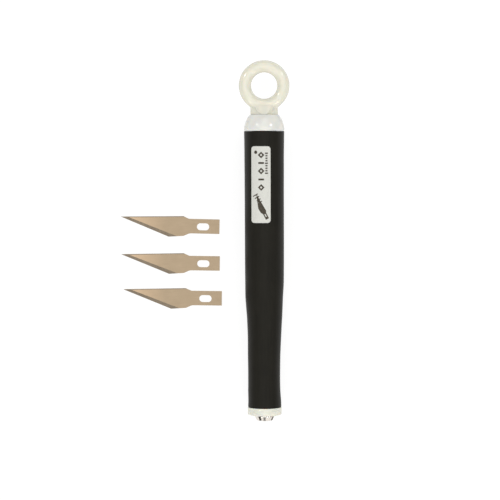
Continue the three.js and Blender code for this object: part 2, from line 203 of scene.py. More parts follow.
def lathe(profile):
    """Places and faces of a closed [radius, station] outline turned about the axis."""
    places = []
    for i in range(TURNED_SEGMENTS):
        a = TURN * i / TURNED_SEGMENTS
        places += [(r * math.sin(a), y, r * math.cos(a)) for r, y in profile]
    count = len(profile)
    faces = []
    for i in range(TURNED_SEGMENTS):
        ring, following = i * count, (i + 1) % TURNED_SEGMENTS * count
        for j in range(count):
            k = (j + 1) % count
            faces.append((ring + j, ring + k, following + k, following + j))
    return places, faces


def sheet(loops, cuts, skins):
    """Places and faces of a closed thin body. Flat outlines are filled, cut along lines, and carried by
    skins to an upper and a lower place for each flat point."""
    flat = bmesh.new()
    for loop in loops:
        points = [flat.verts.new((x, y, 0)) for x, y in loop]
        for a, b in zip(points, points[1:] + points[:1]):
            flat.edges.new((a, b))
    bmesh.ops.triangle_fill(flat, use_beauty=True, use_dissolve=False, edges=flat.edges[:])
    for place, normal in cuts:
        everything = flat.verts[:] + flat.edges[:] + flat.faces[:]
        bmesh.ops.bisect_plane(flat, geom=everything, plane_co=place, plane_no=normal, dist=1e-5)

    # A cut that passes close by a corner leaves two points a hair apart, which become one.
    bmesh.ops.remove_doubles(flat, verts=flat.verts[:], dist=2e-3)
    flat.verts.index_update()
    count = len(flat.verts)
    tops, bottoms = zip(*(skins(vert.co.x, vert.co.y) for vert in flat.verts))
    faces = []
    for face in flat.faces:
        loop = [vert.index for vert in face.verts]
        if face.normal.z < 0:
            loop.reverse()
        faces.append(loop)
        faces.append([index + count for index in reversed(loop)])
    for edge in flat.edges:
        if edge.is_boundary:
            a, b = (vert.index for vert in edge.verts)
            faces.append((a, b, b + count, a + count))
    flat.free()
    return list(tops) + list(bottoms), faces


def blend_join(a, b, width):
    """Two fields joined with a fillet about as wide as width. A field is below zero inside its body."""
    mix = np.clip(0.5 + 0.5 * (b - a) / width, 0, 1)
    return b + (a - b) * mix - width * mix * (1 - mix)


def blend_cut(a, b, width):
    """Field a with field b taken away, and the corner between them rounded."""
    return -blend_join(-a, b, width)


def blend_common(a, b, width):
    return -blend_join(-a, -b, width)


def settle(field, points, rounds=3):
    """Points moved along the field's slope until they lie where it is zero."""
    nudge = 1e-3
    least_slope = 0.05
    longest_move = 0.3
    for _ in range(rounds):
        value = field(points)
        slope = np.stack([field(points + step) - field(points - step) for step in np.eye(3) * nudge], -1)
        slope /= 2 * nudge
        size = np.maximum((slope ** 2).sum(-1), least_slope)
        points = points - slope * np.clip(value / size, -longest_move, longest_move)[:, None]
    return points


def crossed_faces(inside, number):
    """A quad for each grid edge that leaves or enters the body, from the numbers of the cells round it."""
    unit = np.eye(3, dtype=int)
    core = inside[1:-1, 1:-1, 1:-1]
    faces = []
    for axis in range(3):
        u, v = unit[(axis + 1) % 3], unit[(axis + 2) % 3]
        front = inside[tuple(slice(1 + a, n - 1 + a) for a, n in zip(unit[axis], inside.shape))]
        for leaving in (True, False):
            at = np.argwhere((core == leaving) & (front != leaving)) + 1
            cells = [at - u - v, at - v, at, at - u]
            if not leaving:
                cells.reverse()
            faces.append(np.stack([number[tuple(cell.T)] for cell in cells], -1))
    return np.concatenate(faces)


def skin(field, low, high, step):
    """Places and faces of the closed quad surface where a field is zero. The field's body has to end at
    least two steps inside the box from low to high."""
    axes = [np.arange(a, b + step, step) for a, b in zip(low, high)]
    grid = np.stack(np.meshgrid(*axes, indexing="ij"), -1)
    inside = field(grid.reshape(-1, 3)).reshape(grid.shape[:3]) < 0
    shape = np.array(inside.shape) - 1
    corners = [
        inside[i:i + shape[0], j:j + shape[1], k:k + shape[2]]
        for i in (0, 1) for j in (0, 1) for k in (0, 1)
    ]
    filled = sum(corner.astype(int) for corner in corners)
    crossed = (filled > 0) & (filled < 8)
    number = np.full(shape, -1)
    number[crossed] = np.arange(crossed.sum())
    places = np.array(low) + (np.argwhere(crossed) + 0.5) * step
    faces = crossed_faces(inside, number)

    # The points settle on the surface, and even out along it.
    evening = 0.6
    places = settle(field, places, 4)
    for _ in range(6):
        centre = places[faces].mean(1)
        total = np.zeros_like(places)
        count = np.zeros(len(places))
        for corner in faces.T:
            np.add.at(total, corner, centre)
            np.add.at(count, corner, 1)
        places = settle(field, places + evening * (total / count[:, None] - places), 1)
    return settle(field, places, 3).tolist(), faces.tolist()


# ---------------------------------------------------------------- material tools
def wire(tree, node, inputs):
    """Feeds a node. An input given as another node's output is linked, and a plain value is set."""
    for name, value in inputs.items():
        if isinstance(value, bpy.types.NodeSocket):
            tree.links.new(value, node.inputs[name])
        else:
            node.inputs[name].default_value = value


def put(tree, kind, inputs=None, **settings):
    """Adds a node, with its settings and what feeds it."""
    node = tree.nodes.new("ShaderNode" + kind)
    for name, value in settings.items():
        setattr(node, name, value)
    wire(tree, node, inputs or {})
    return node


def linear(colour):
    """A colour in 0 to 255 screen steps as the renderer's linear values."""
    steps = [value / 255 for value in colour]
    return tuple(c / 12.92 if c <= 0.04045 else ((c + 0.055) / 1.055) ** 2.4 for c in steps) + (1,)


def ramp(tree, factor, *stops):
    """A colour ramp. A stop is (position, colour)."""
    node = put(tree, "ValToRGB", {"Fac": factor})
    elements = node.color_ramp.elements
    while len(elements) < len(stops):
        elements.new(0.5)
    for element, (position, colour) in zip(elements, stops):
        element.position = position
        element.color = colour
    return node.outputs["Color"]


def grey(value):
    return (value, value, value, 1)


def mixed(tree, factor, a, b, mode="MIX"):
    """Colour a going over to colour b."""
    node = put(tree, "Mix", {0: factor, 6: a, 7: b}, data_type="RGBA", blend_type=mode)
    return node.outputs[2]


def place_of(tree, stretch=(1, 1, 1)):
    """Object coordinates in millimetres, times a factor along each axis."""
    where = put(tree, "TexCoord").outputs["Object"]
    scale = tuple(s / MM for s in stretch)
    return put(tree, "Mapping", {"Vector": where, "Scale": scale}).outputs["Vector"]


def noise_at(tree, place, scale, detail=4.0, roughness=0.55):
    inputs = {"Vector": place, "Scale": scale, "Detail": detail, "Roughness": roughness}
    return put(tree, "TexNoise", inputs).outputs["Fac"]


def bump(tree, height, distance, strength=1.0, normal=None):
    """Relief of a height from 0 to 1, whose full depth is a distance in millimetres."""
    inputs = {"Height": height, "Distance": distance * MM, "Strength": strength}
    if normal:
        inputs["Normal"] = normal
    return put(tree, "Bump", inputs).outputs["Normal"]


def material(name):
    made = bpy.data.materials.new(name)
    made.use_nodes = True
    tree = made.node_tree
    return made, tree, tree.nodes["Principled BSDF"]


# ---------------------------------------------------------------- materials
def black_rubber():
    """Matt soft rubber: a fine grain, faint lengthwise bands of painted sheen and a little dust-grey bloom.
    """
    made, tree, shader = material("soft_black_rubber")
    place = place_of(tree)
    grain = noise_at(tree, place, 5.0, 3)
    pores = put(tree, "TexVoronoi", {"Vector": place, "Scale": 3.2}).outputs["Distance"]
    # Painted sheen: these lengthwise bands lighten and darken the base colour to stand in for the sheen
    # along the sleeve.
    drag = noise_at(tree, place_of(tree, (1.4, 0.05, 1.4)), 1.0, 3)
    bloom = noise_at(tree, place, 0.16, 4)
    base = ramp(tree, drag, (0.3, linear((17, 16, 12))), (0.7, linear((27, 26, 20))))
    base = mixed(tree, bloom, base, linear((32, 30, 24)))
    wire(tree, shader, {
        "Base Color": base,
        "Roughness": ramp(tree, grain, (0.3, grey(0.4)), (0.7, grey(0.54))),
        "Specular IOR Level": 0.13,
        "Normal": bump(tree, grain, 0.02, 0.6, bump(tree, pores, 0.015, 0.35)),
    })
    return made


def moulded_plastic(name, light, shade, warmth, gloss, depth, edge):
    """Moulded plastic: soft flow clouds, a faint orange peel, light passing a little way in, and painted
    shade that darkens the tone where the surface is seen edge-on."""
    made, tree, shader = material(name)
    place = place_of(tree)
    clouds = noise_at(tree, place, 0.22, 3)
    flow = noise_at(tree, place, 0.3, 4)
    peel = noise_at(tree, place, 1.6, 2)
    base = ramp(tree, clouds, (0.35, linear(shade)), (0.65, linear(light)))
    streaks = ramp(tree, flow, (0.5, grey(0)), (0.66, grey(1)))
    base = mixed(tree, streaks, base, linear(warmth))
    # Painted shade: the edge colour is multiplied in where the surface turns edge-on, which darkens rims and
    # the ring's hole edge.
    facing = put(tree, "LayerWeight", {"Blend": 0.5}).outputs["Facing"]
    painted_edge_shade = mixed(tree, 1.0, base, linear(edge), "MULTIPLY")
    base = mixed(tree, ramp(tree, facing, (0.35, grey(0)), (0.9, grey(1))), base, painted_edge_shade)
    wire(tree, shader, {
        "Base Color": base,
        "Roughness": ramp(tree, peel, (0.3, grey(gloss)), (0.7, grey(gloss + 0.05))),
        "Subsurface Weight": 0.35,
        "Subsurface Radius": (1.0, 0.8, 0.55),
        "Subsurface Scale": depth * MM,
        "Coat Weight": 0.3,
        "Coat Roughness": 0.1,
        "Normal": bump(tree, peel, 0.012, 0.3),
    })
    return made


def label_paper():
    """Coated paper: a faint fibre mottle and a slightly uneven sheen."""
    made, tree, shader = material("label_paper")
    place = place_of(tree)
    fibre = noise_at(tree, place_of(tree, (3, 1, 3)), 1.6, 4)
    tone = ramp(tree, fibre, (0.3, linear((204, 204, 198))), (0.7, linear((220, 220, 213))))
    wire(tree, shader, {
        "Base Color": tone,
        "Roughness": 0.45,
        "Specular IOR Level": 0.35,
        "Normal": bump(tree, noise_at(tree, place, 2.5, 3), 0.01, 0.5),
    })
    return made


def printed_ink():
    """Brown-black ink that lies a little unevenly."""
    made, tree, shader = material("printed_ink")
    cover = noise_at(tree, place_of(tree), 3.0, 3)
    tone = ramp(tree, cover, (0.3, linear((52, 46, 38))), (0.75, linear((84, 75, 62))))
    wire(tree, shader, {"Base Color": tone, "Roughness": 0.5, "Specular IOR Level": 0.3})
    return made


def towards_points(tree):
    """1 at the blades' points, falling to 0 by their widest part."""
    low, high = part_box("blade_2")
    along = put(tree, "SeparateXYZ", {"Vector": put(tree, "TexCoord").outputs["Object"]}).outputs["X"]
    widest_share = 0.45
    share = put(tree, "MapRange", {
        "Value": along,
        "From Min": low.x,
        "From Max": low.x + widest_share * (high.x - low.x),
        "To Min": 1,
        "To Max": 0,
    })
    return share.outputs["Result"]


def metal(name, light, dark, roughness, brushed, stretch=(1, 1, 1), scratch=0.004, solid=1.0, tint=None):
    """Bare metal with brushing drawn out along one way, and a slow change of tone. A tint is a colour
    that the metal takes towards the blades' points."""
    made, tree, shader = material(name)
    lines = noise_at(tree, place_of(tree, stretch), 1.0, 5, 0.6)
    clouds = noise_at(tree, place_of(tree), 0.25, 3)
    tone = mixed(tree, clouds, linear(dark), linear(light))
    tone = mixed(tree, ramp(tree, lines, (0.35, grey(0)), (0.65, grey(brushed))), tone, linear(dark))
    if tint:
        tone = mixed(tree, towards_points(tree), tone, linear(tint))
    wire(tree, shader, {
        "Base Color": tone,
        "Metallic": solid,
        "Roughness": ramp(tree, lines, (0.3, grey(roughness)), (0.7, grey(roughness + 0.1))),
        "Normal": bump(tree, lines, scratch, 0.6),
    })
    return made


BLACK_RUBBER = black_rubber()
# The last colour of each moulded plastic is its painted edge shade, multiplied in where a surface is seen
# edge-on.
WHITE_PLASTIC = moulded_plastic(
    "white_plastic", (230, 230, 225), (225, 226, 221), (232, 231, 224), 0.12, 0.8, (226, 226, 224),
)
NOSE_PLASTIC = moulded_plastic(
    "nose_plastic", (229, 229, 217), (223, 224, 212), (233, 231, 218), 0.25, 0.8, (228, 228, 224),
)
CREAM_PLASTIC = moulded_plastic(
    "cream_plastic", (229, 227, 212), (226, 225, 209), (231, 227, 211), 0.12, 1.2, (216, 213, 203),
)
NYLON = moulded_plastic(
    "natural_nylon", (222, 217, 203), (212, 207, 191), (226, 220, 204), 0.45, 1.0, (226, 222, 214),
)
LABEL_PAPER = label_paper()
PRINTED_INK = printed_ink()
CHROME = metal("plated_steel", (236, 232, 226), (214, 208, 200), 0.1, 0.2, (4, 1, 4), 0.001)
STEEL = metal("plain_steel", (176, 176, 174), (150, 150, 148), 0.28, 0.5, (6, 0.8, 6))
BLADE_FLAT = metal(
    "blade_flat", (175, 155, 129), (161, 142, 116), 0.32, 0.45, (0.25, 7, 1), solid=0.6,
    tint=(206, 178, 146),
)
# The bevel's own ground finish. Its darker tone is partly painted shade for the bevel's darker reflection.
BLADE_GRIND = metal("blade_grind", (162, 148, 128), (114, 102, 87), 0.28, 0.7, (5, 1.2, 1), solid=0.7)
# Painted shade: a dark steel for the insides of the collet's slots.
SLOT_SHADE_STEEL = metal("slot_shade_steel", (122, 113, 104), (90, 83, 76), 0.5, 0.5, (6, 1, 6), solid=0.7)
BRASS = metal("brass", (196, 168, 102), (170, 142, 82), 0.3, 0.4, (5, 1, 5))


def seal_rubber():
    made, tree, shader = material("seal_rubber")
    grain = noise_at(tree, place_of(tree), 6.0, 3)
    wire(tree, shader, {
        "Base Color": ramp(tree, grain, (0.3, grey(0.012)), (0.7, grey(0.02))),
        "Roughness": 0.6,
        "Normal": bump(tree, grain, 0.01, 0.5),
    })
    return made


SEAL_RUBBER = seal_rubber()


# ---------------------------------------------------------------- handle
def grip_radius_table():
    """The CAD sleeve's outer radius at even stations, with the corners of its facets smoothed out."""
    front, rear = stations("grip_sleeve")
    inset = GRIP_SAMPLES["inset"]
    places = np.linspace(front + inset, rear - inset, GRIP_SAMPLES["count"])
    radii = np.array([outer_radius("grip_sleeve", station) for station in places])
    width = GRIP_SAMPLES["smoothed_over"]
    kernel = np.hanning(2 * width + 3)[1:-1]
    padded = np.pad(radii, width, mode="reflect", reflect_type="odd")
    return places, np.convolve(padded, kernel / kernel.sum(), mode="valid")


GRIP_TABLE = grip_radius_table()


def grip_radius(station):
    """The sleeve's smoothed outer radius at a station."""
    return float(np.interp(station, *GRIP_TABLE))


def grip_sleeve():
    """The rubber sleeve, with soft lips and a faint ripple. Its outside sits a little off the axis."""
    front, rear = stations("grip_sleeve")
    inner_front = outer_radius("barrel", front) + FIT
    inner_rear = outer_radius("barrel", rear - 1) + FIT
    bore_stations = [GRIP["bore_slim_to"], GRIP["bore_full_from"]]
    between = np.arange(front + GRIP["lip_margin"], rear - GRIP["lip_margin"], GRIP["step"])
    corners = [(inner_front, front, GRIP["bore_front_lip"]), (grip_radius(front), front, GRIP["front_lip"])]
    corners += [(grip_radius(station), station) for station in between]
    corners += [(grip_radius(rear), rear, GRIP["rear_lip"]), (inner_rear, rear, GRIP["bore_rear_lip"])]
    corners += [(inner_rear, bore_stations[1]), (inner_front, bore_stations[0])]
    places, faces = lathe(rounded(corners))
    moved = []
    for x, y, z in places:
        radius = math.hypot(x, z)
        inner = np.interp(y, bore_stations, [inner_front, inner_rear])
        share = 1 if radius > inner + GRIP["seat"] else 0
        wave = noise.noise(Vector((x * 0.3, y * 0.12, z * 0.3))) + 0.4 * noise.noise(Vector((x, y, z)) * 0.9)
        grow = 1 + share * GRIP["ripple"] * wave / radius
        aside = share * np.interp(y, *zip(*GRIP_WANDER))
        moved.append((x * grow + aside, y, z * grow))
    dress(piece_from("soft_grip", moved, faces), "handle", BLACK_RUBBER, "black_rubber", "grip_sleeve")


def nose_ferrule():
    """The white nose ring: a fine groove, a rounded shoulder and a softened mouth."""
    front, rear = stations("nose_ferrule")
    radius = outer_radius("nose_ferrule")
    bore = outer_radius("barrel", 1) + FIT
    lip = stations("barrel")[0] - FIT
    mouth = COLLET["radius"] + RUN
    groove_at = rear - FERRULE["groove_from_rear"]
    half = FERRULE["groove_width"] / 2
    groove_floor = radius - FERRULE["groove_depth"]
    face = FERRULE["face"]
    shoulder = [
        (face + (radius - face) * math.sin(a), FERRULE["chamfer"] * (1 - math.cos(a)) ** 0.9)
        for a in np.linspace(0.05, math.pi / 2, 12)
    ]
    corners = [(mouth, front, FERRULE["mouth_round"]), (face, front)] + shoulder
    corners += [
        (radius, groove_at - half), (groove_floor, groove_at - half / 3),
        (groove_floor, groove_at + half / 3), (radius, groove_at + half),
        (radius, rear, FERRULE["rear_round"]), (bore, rear), (bore, lip), (mouth, lip, FERRULE["lip_round"]),
    ]
    places, faces = lathe(rounded(corners, 4))
    made = piece_from("white_nose_ring", places, faces, crease=50)
    dress(made, "handle", NOSE_PLASTIC, "white_plastic", "nose_ferrule")


def end_cap():
    """The domed cap, with its spigot into the barrel and the pocket that the ring's hub turns in."""
    front, top = stations("end_cap")
    base = stations("grip_sleeve")[1] + FIT
    radius = (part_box("end_cap")[1].x - KNIFE.x) / MM
    spigot = outer_radius("end_cap", front + 0.5)
    bore = ROD_RADIUS + RUN
    pocket_floor = HUB["front"] - CAP["hub_gap"]
    angle = math.asin((top - CAP["dome_from"]) / CAP["dome"])
    dome = [
        (radius - CAP["dome"] * (1 - math.cos(a)), CAP["dome_from"] + CAP["dome"] * math.sin(a))
        for a in np.linspace(0, angle, 20)
    ]
    dome[-1] = (*dome[-1], CAP["top_round"])
    rim = [(radius - CAP["rim_break"], base), (radius, base + CAP["rim_break"]), (radius, base + CAP["rim"])]
    corners = [(bore, front), (spigot, front, CAP["spigot_round"]), (spigot, base)] + rim + dome
    pocket = [(CAP["pocket"], top), (CAP["pocket"], pocket_floor), (bore, pocket_floor)]
    corners += [(*corner, CAP["pocket_round"]) for corner in pocket]
    places, faces = lathe(rounded(corners, 4))
    made = piece_from("white_end_cap", places, faces, crease=50)
    dress(made, "handle", WHITE_PLASTIC, "white_plastic", "end_cap")


# ---------------------------------------------------------------- label
LABEL_FRONT, LABEL_REAR = stations("label")
LABEL_HALF = grip_radius(LABEL_FRONT) * LABEL["half_angle"]


def wrapped(height, thickness):
    """Skins that wrap a flat sheet round the grip, some way above it. Flat x runs round the grip and flat y
    along it."""
    def skins(x, y):
        radius = grip_radius(y) + height
        a = LABEL["angle"] + x / radius
        along = Vector((math.sin(a), 0, math.cos(a)))
        station = Vector((0, y, 0))
        return along * (radius + thickness) + station, along * radius + station
    return skins


def wrap_cuts():
    """Lines that cut a flat sheet as big as the label finely enough to wrap round the grip."""
    xs = np.arange(-LABEL_HALF + LABEL_CUTS["across_from"], LABEL_HALF, LABEL_CUTS["across"])
    ys = np.arange(LABEL_FRONT + LABEL_CUTS["along_from"], LABEL_REAR, LABEL_CUTS["along"])
    return [((x, 0, 0), (1, 0, 0)) for x in xs] + [((0, y, 0), (0, 1, 0)) for y in ys]


def label():
    """The paper label, with round corners."""
    corner = LABEL["corner"]
    outline = rounded([
        (-LABEL_HALF, LABEL_FRONT, corner), (LABEL_HALF, LABEL_FRONT, corner),
        (LABEL_HALF, LABEL_REAR, corner), (-LABEL_HALF, LABEL_REAR, corner),
    ], 8)
    skins = wrapped(LABEL["gap"], LABEL["thickness"])
    places, faces = sheet([outline], wrap_cuts(), skins)
    dress(piece_from("paper_label", places, faces), "handle", LABEL_PAPER, "label_paper", "label")


def moved_loop(loop, x, y, turn=0.0):
    c, s = math.cos(turn), math.sin(turn)
    return [(x + px * c - py * s, y + px * s + py * c) for px, py in loop]


def polygon(sides, radius, turn=0.0):
    angles = [turn + TURN * i / sides for i in range(sides)]
    return [(radius * math.cos(a), radius * math.sin(a)) for a in angles]


def box_loop(width, height, corner=0.1):
    w, h = width / 2, height / 2
    return rounded([(-w, -h, corner), (w, -h, corner), (w, h, corner), (-w, h, corner)], 3)


def cutting_line():
    """Diamonds with a hole in them, and dashes between, down from the label's rear edge."""
    loops = []
    for i, down in enumerate((3.5, 6.7, 9.9, 13.3, 16.5)):
        shapes = [box_loop(2.3, 0.75)] if i % 2 else [polygon(4, 1.35), polygon(4, 0.5)]
        loops += [moved_loop(shape, 0.25, LABEL_REAR - down) for shape in shapes]
    return loops


def scale_ticks():
    """Ticks 1 mm apart, with a longer one at every fourth."""
    widths = [0.85 if i % 4 else 1.2 for i in range(9)]
    ticks = [box_loop(width, 0.55, 0.08) for width in widths]
    return [moved_loop(tick, 2.4, LABEL_REAR - 2.8 - i) for i, tick in enumerate(ticks)]


def blade_sign():
    """A slanting craft blade with a slot in its tang, and four strokes beside its point."""
    slant = math.radians(-62)
    x, y = 0.15, LABEL_REAR - 24.2
    to_slot = 4.0
    outline = [
        (-5.6, 0.7), (0.2, -1.35), (2.2, -1.2), (3.0, -0.7), (5.6, -0.7), (5.6, 0.7), (3.0, 0.7), (2.4, 1.1),
    ]
    slot = box_loop(1.3, 0.4, 0.19)
    loops = [
        moved_loop(outline, x, y, slant),
        moved_loop(slot, x + to_slot * math.cos(slant), y + to_slot * math.sin(slant), slant),
    ]
    for i in range(4):
        stroke = box_loop(0.4, 2.4 - 0.3 * i, 0.1)
        loops.append(moved_loop(stroke, -2.2 + 0.7 * i, LABEL_REAR - 19.6 - 0.9 * i, slant))
    return loops


def print_loops():
    """A made-up print: a dot, a cutting line of diamonds and dashes, a row of scale ticks and a craft blade
    with a few strokes beside it."""
    dot = moved_loop(polygon(20, 0.68), -2.0, LABEL_REAR - 2.4)
    return [dot] + cutting_line() + scale_ticks() + blade_sign()


def label_print():
    """The print's ink, a thin body for each mark, set a little way into the paper."""
    skins = wrapped(LABEL["gap"] + LABEL["thickness"] - INK["sunk"], INK["thickness"])
    places, faces = sheet(print_loops(), wrap_cuts(), skins)
    made = piece_from("label_print", places, faces)
    made.data.materials.append(PRINTED_INK)
    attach(made, "handle")


# ---------------------------------------------------------------- ring
def knob_field(points):
    """The ring, its oval neck with a rounded tongue front and back, and the hub below, bored for the rod
    and its pin."""
    x, y, z = points.T
    up = y - RING_CENTRE
    ring = np.hypot(np.hypot(x, up) - RING_RADIUS, z) - RING_TUBE

    rise = np.clip((y - SEAM) / (RING_CENTRE - RING_RADIUS - SEAM), 0, 1)
    depth = NECK["half_depth"] + (NECK["waist"] - NECK["half_depth"]) * rise * rise * (3 - 2 * rise)
    column = (np.hypot(x / NECK["half_width"], z / depth) - 1) * depth
    clear_of_hole = RING_RADIUS - HOLE_WALL - np.hypot(x, up)
    neck = blend_common(column, SEAM - y, NECK["edge"])
    neck = blend_common(neck, np.maximum(clear_of_hole, up - NECK["up_to"]), UPPER_FILLET)

    # The tongue is U-shaped from the front, and stands proud of the neck by most at its middle.
    width = TONGUE["foot"] + TONGUE["half_width"] * np.sqrt(1 - (1 - rise) ** 2)
    height = TONGUE["foot_top"] + (TONGUE["top"] - TONGUE["foot_top"]) * rise
    tongue = (((x / width) ** 4 + (z / height) ** 4) ** 0.25 - 1) * np.minimum(width, height)
    tongue = blend_common(tongue, SEAM - y, NECK["edge"])
    tongue = blend_common(tongue, np.maximum(clear_of_hole, up + RING_RADIUS), UPPER_FILLET)

    around = np.hypot(x, z)
    hub = np.maximum(around - HUB["radius"], np.maximum(HUB["front"] - y, y - SEAM - HUB["into_neck"]))
    groove = np.hypot(around - DRAG["radius"], y - DRAG["station"]) - DRAG["section"]
    hub = np.maximum(hub, -groove)

    body = blend_join(blend_join(ring, neck, NECK["fillet"]), tongue, TONGUE["fillet"])
    body = np.minimum(body, hub)
    bore = np.maximum(around - ROD_RADIUS - FIT, y - stations("drive_rod")[1] - RUN)
    pin_hole = np.hypot(z, y - PIN["station"]) - PIN["radius"] - FIT
    return np.maximum(np.maximum(body, -bore), -pin_hole)


def ring_knob():
    """The ring with its neck and hub. The grid's reach keeps the drag groove's rim between grid planes."""
    step = 0.2
    reach = max(HUB["radius"], TONGUE["foot_top"]) + 0.5
    low = (-RING_OUTER - 0.6, HUB["front"] - 0.6, -reach)
    high = (RING_OUTER + 0.6, stations("ring_knob")[1] + 0.6, reach)
    places, faces = skin(knob_field, low, high, step)
    made = piece_from("cream_ring", places, faces, crease=60)
    dress(made, "knob", CREAM_PLASTIC, "cream_plastic", "ring_knob")


# ---------------------------------------------------------------- collet
def thread_height(x, y, z, rear):
    """How far the tail's thread stands above its core, none at its ends."""
    winding = TURN * y / THREAD["pitch"] + np.arctan2(x, z)
    low, high = THREAD["flats"]
    crest = np.clip(THREAD["swing"] * np.cos(winding), low, high) - low
    begun = np.clip((y - COLLET["shank_end"] - THREAD["starts"]) / THREAD["fade"], 0, 1)
    ended = np.clip((rear - THREAD["end_fade"] - y) / THREAD["end_fade"], 0, 1)
    return crest * (begun * ended) * (THREAD["crest"] - THREAD["core"]) / (high - low)


def collet_field(points):
    """The collet: a coned head split by two crossed slots, a shank with a keyway and a threaded tail."""
    x, y, z = points.T
    around = np.hypot(x, z)
    front, rear = stations("collet")
    radius = np.interp(
        y,
        [front, COLLET["mouth"] - COLLET["mouth_length"], COLLET["mouth"], COLLET["cone_end"],
         COLLET["shank_end"], COLLET["shank_end"] + THREAD["runout"], rear],
        [COLLET["nose"], COLLET["radius"], COLLET["radius"], COLLET["shank"] + COLLET["shank_taper"],
         COLLET["shank"], THREAD["core"], THREAD["core"]],
    ) + thread_height(x, y, z, rear)
    body = (around - radius) * COLLET["steepness"]
    body = blend_common(body, front - y, COLLET["nose_round"])
    body = blend_common(body, y - rear, COLLET["tail_round"])
    flared = np.clip(front + SLOT["flare_length"] - y, 0, SLOT["flare_length"])
    half = SLOT["width"] / 2 + flared * SLOT["flare"]
    for angle in (SLOT["angle"], SLOT["angle"] + math.pi / 2):
        across = x * math.cos(angle) - z * math.sin(angle)
        gap = np.maximum(np.abs(across) - half, y - SLOT["end"])
        body = blend_cut(body, gap, SLOT["edge"])
    relief = np.maximum(around - SLOT["relief"], y - SLOT["end"] - SLOT["relief_past"])
    body = np.maximum(body, -relief)
    keyway = np.maximum(np.abs(z) - PIN["radius"] - RUN, COLLET["shank"] - KEYWAY["depth"] - x)
    key_at = (middle("key_pin").y - KNIFE.y) / MM
    keyway = np.maximum(keyway, np.abs(y - key_at - KEYWAY["ahead"]) - KEYWAY["half_length"])
    return np.maximum(body, -keyway)


def collet():
    """The plated collet, with a darker steel in its slots that paints the shade inside them."""
    step = 0.13
    front, rear = stations("collet")
    reach = COLLET["radius"] + 0.5
    places, faces = skin(collet_field, (-reach, front - 0.5, -reach), (reach, rear + 0.5, reach), step)
    made = piece_from("split_collet", places, faces, crease=40)
    dress(made, "collet", CHROME, "plated_steel", "collet")

    # The slot walls and the core take a darker steel: painted shade inside the slots.
    made.data.materials.append(SLOT_SHADE_STEEL)
    for face in made.data.polygons:
        place = (face.center - KNIFE) / MM
        out = Vector((place.x, 0, place.z))
        wall = abs(face.normal.y) < 0.5 and abs(face.normal.dot(out.normalized())) < 0.6
        if place.y < SLOT["end"] + SLOT["wall_past"] and (wall or out.length < SLOT["core"]):
            face.material_index = 1


# ---------------------------------------------------------------- blades
def blade_outline():
    """The blade from above: the edge from tip to heel, the back of the heel, the tang and the spine."""
    heel_x, heel_y = BLADE["heel"]
    length, half, end_round = TANG["length"], TANG["half"], TANG["end_round"]
    back, shoulder = BLADE_BACK, BLADE_SHOULDER
    return rounded([
        BLADE["tip"],
        BLADE["heel"],
        (heel_x + back["past_heel"], heel_y + back["rise"], back["heel_round"]),
        (-length, -half, back["tang_round"]),
        (0, -half, end_round),
        (0, half, end_round),
        (-length - shoulder["tang_step"], half, shoulder["tang_round"]),
        (-length - shoulder["length"], BLADE["spine"], shoulder["spine_round"]),
    ], 5)


def square_to(way):
    """A flat way turned a quarter turn to the left."""
    return Vector((-way.y, way.x)).normalized()


def blade_skins():
    """Skins for a blade of even thickness, ground down to the edge along the slant and eased a little along
    the spine. Also the lines where the grind and the easing begin."""
    tip, heel = Vector(BLADE["tip"]), Vector(BLADE["heel"])
    slant = heel - tip
    spine = Vector((-TANG["length"] - BLADE_SHOULDER["length"], BLADE["spine"])) - tip
    above_edge = square_to(slant)
    below_spine = -square_to(spine)
    full = BLADE["thickness"] / 2

    def skins(x, y):
        place = Vector((x, y)) - tip
        share = min(max(place.dot(slant) / slant.length_squared, 0), 1)
        bevel = BLADE["tip_bevel"] + (BLADE["heel_bevel"] - BLADE["tip_bevel"]) * share
        ground = BLADE["edge"] + (full - BLADE["edge"]) * max(place.dot(above_edge), 0) / bevel
        eased = full - BLADE["spine_drop"] * max(1 - place.dot(below_spine) / BLADE["spine_break"], 0)
        half = min(full, ground, eased)
        return Vector((x, y, full + half)), Vector((x, y, full - half))

    ground_from = tip + above_edge * BLADE["tip_bevel"]
    grind_line = heel + above_edge * BLADE["heel_bevel"] - ground_from
    eased_from = tip + below_spine * BLADE["spine_break"]
    cuts = [((*ground_from, 0), (*square_to(grind_line), 0)), ((*eased_from, 0), (*below_spine, 0))]
    return skins, cuts


def tang_slot():
    """The outline of the slot through the tang."""
    front, rear, low, high = (TANG_SLOT[key] for key in ("front", "rear", "low", "high"))
    corners = [(front, low), (rear, low), (rear, high), (front, high)]
    return rounded([(*corner, TANG_SLOT["corner"]) for corner in corners], 8)


def blade(name):
    """A loose blade where its CAD node lies, with slightly worn edges."""
    skins, cuts = blade_skins()
    places, faces = sheet([blade_outline(), tang_slot()], cuts, skins)
    turn = math.radians(BLADE_TURNS[name])
    c, s = math.cos(turn), math.sin(turn)
    places = [Vector((x * c - y * s, x * s + y * c, z)) for x, y, z in places]
    lowest = Vector([min(place[i] for place in places) for i in range(3)]) * MM
    made = piece_from("craft_" + name, places, faces, origin=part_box(name)[0] - lowest, crease=3)
    dress(made, name, BLADE_FLAT, "blade_steel", name)
    # The bevel faces take the ground finish, whose darker tone is partly painted shade.
    made.data.materials.append(BLADE_GRIND)
    flattest, steepest = GRIND_SLOPE[1], GRIND_SLOPE[0]
    for face in made.data.polygons:
        if steepest < abs(face.normal.z) < flattest:
            face.material_index = 1
    worn = made.modifiers.new("worn_edges", "BEVEL")
    worn.width = BLADE["worn"] * MM
    worn.segments = 2
    worn.limit_method = "ANGLE"
    worn.angle_limit = math.radians(30)
    worn.harden_normals = True


